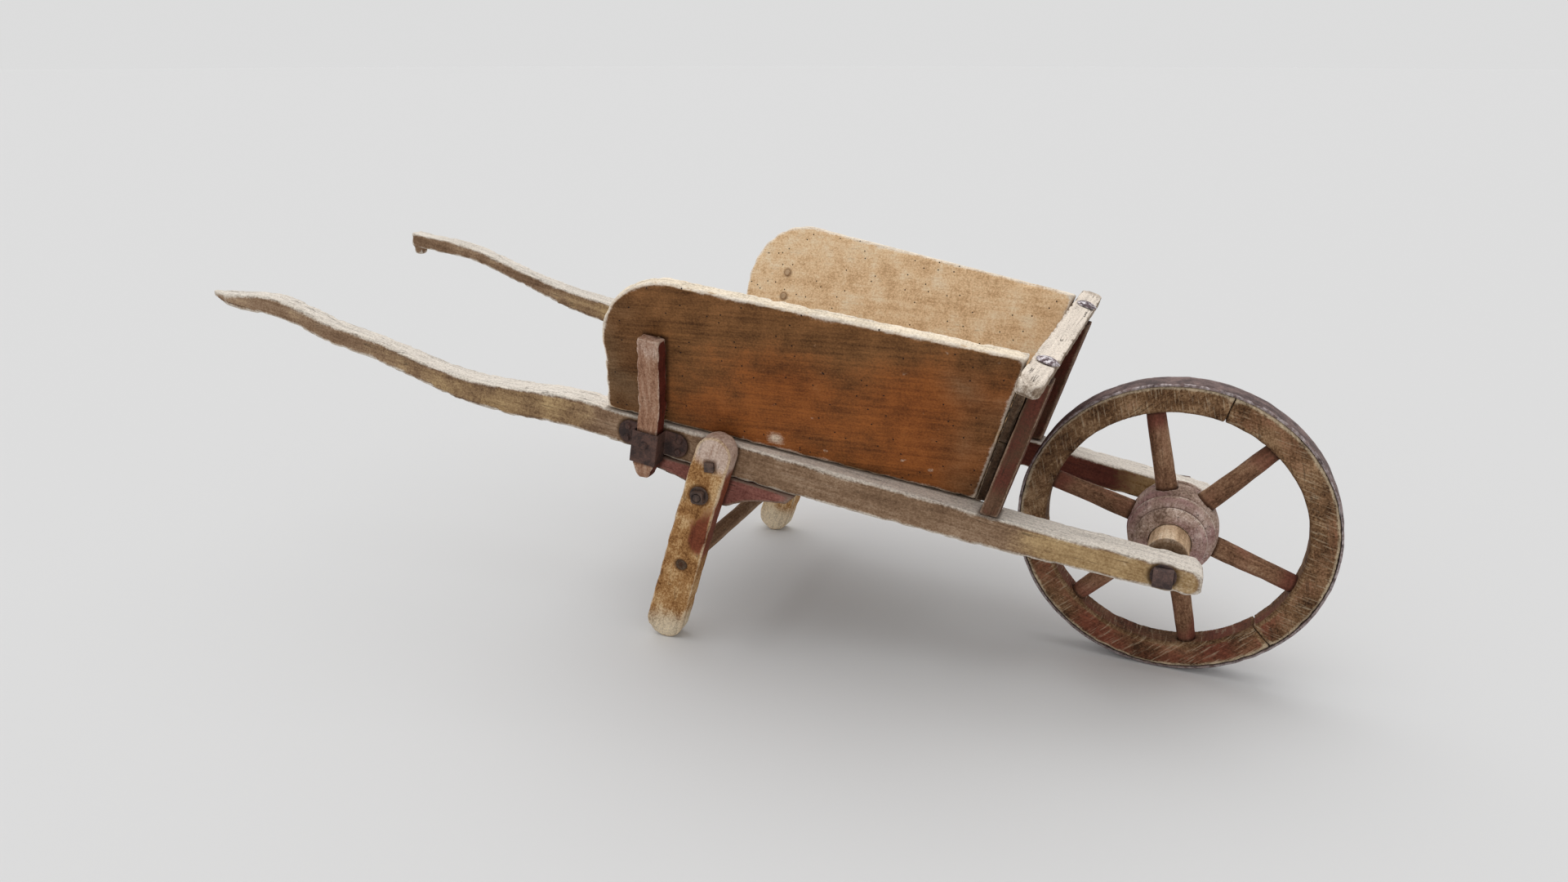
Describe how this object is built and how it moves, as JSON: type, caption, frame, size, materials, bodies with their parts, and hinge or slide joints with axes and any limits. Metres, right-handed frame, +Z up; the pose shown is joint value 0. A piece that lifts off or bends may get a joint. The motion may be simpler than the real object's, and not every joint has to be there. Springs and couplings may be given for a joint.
{
  "type": "wheelbarrow",
  "caption": "Antique wooden wheelbarrow: long curved shafts carry an open-backed tray with lift-out side boards, propping legs joined by a rung, and a spoked iron-tyred wheel.",
  "frame": {"origin": "centre of the bounding box, on the ground", "axes": "+X forward along the barrow to its wheel, +Y to the left, +Z up"},
  "size_m": [1.685, 0.536, 0.5517],
  "materials": {
    "weathered_wood": "bare weathered wood, pale and worn on top faces",
    "stained_board": "orange-brown stained wood with pale scuffs",
    "leg_wood": "golden brown wood with remains of red paint",
    "red_painted_wood": "wood with old dark red paint",
    "wheel_wood": "dark brown worn wood with traces of red",
    "dark_iron": "old dark wrought iron, slightly rusty",
    "worn_steel": "worn bright iron bolt heads"
  },
  "bodies": {
    "frame": {"shaft_right": "weathered_wood", "shaft_left": "weathered_wood", "front_cross_rail": "weathered_wood", "middle_cross_rail": "weathered_wood", "rear_cross_rail": "weathered_wood", "floor_board_1": "weathered_wood", "floor_board_2": "weathered_wood", "floor_board_3": "weathered_wood", "floor_board_4": "weathered_wood", "floor_nails": "dark_iron", "lower_headboard_plank": "red_painted_wood", "upper_headboard_plank": "red_painted_wood", "headboard_nails": "dark_iron", "front_post_right": "red_painted_wood", "front_post_left": "red_painted_wood", "top_rail": "weathered_wood", "top_rail_coach_bolts": "worn_steel", "belly_block_right": "red_painted_wood", "belly_block_left": "red_painted_wood", "leg_right": "leg_wood", "leg_left": "leg_wood", "leg_stretcher": "weathered_wood", "leg_washers": "dark_iron", "leg_bolts": "dark_iron", "leg_nuts": "dark_iron", "upper_leg_bolts": "dark_iron", "staple_right": "dark_iron", "staple_left": "dark_iron", "staple_nails": "dark_iron", "axle_rod": "dark_iron", "axle_washers": "dark_iron", "axle_nut": "dark_iron"},
    "wheel": {"hub": "wheel_wood", "wooden_axle": "weathered_wood", "felloe_1": "wheel_wood", "felloe_2": "wheel_wood", "felloe_3": "wheel_wood", "felloe_dowels": "weathered_wood", "tyre": "dark_iron", "spoke_1": "wheel_wood", "spoke_2": "wheel_wood", "spoke_3": "wheel_wood", "spoke_4": "wheel_wood", "spoke_5": "wheel_wood", "spoke_6": "wheel_wood"},
    "side_right": {"side_board_right": "stained_board", "stake_right": "red_painted_wood", "stake_nails_right": "dark_iron"},
    "side_left": {"side_board_left": "stained_board", "stake_left": "red_painted_wood", "stake_nails_left": "dark_iron"}
  },
  "joints": [
    {"name": "wheel_spin", "type": "hinge", "parent": "frame", "child": "wheel", "pos_m": [0.6325, 0, 0.21], "axis": [0, 1, 0], "continuous": true},
    {"name": "side_right_lift", "type": "slide", "parent": "frame", "child": "side_right", "axis": [0.1613, 0.0107, 0.9869], "range_m": [0, 0.15]},
    {"name": "side_left_lift", "type": "slide", "parent": "frame", "child": "side_left", "axis": [0.1613, -0.0107, 0.9869], "range_m": [0, 0.15]}
  ]
}
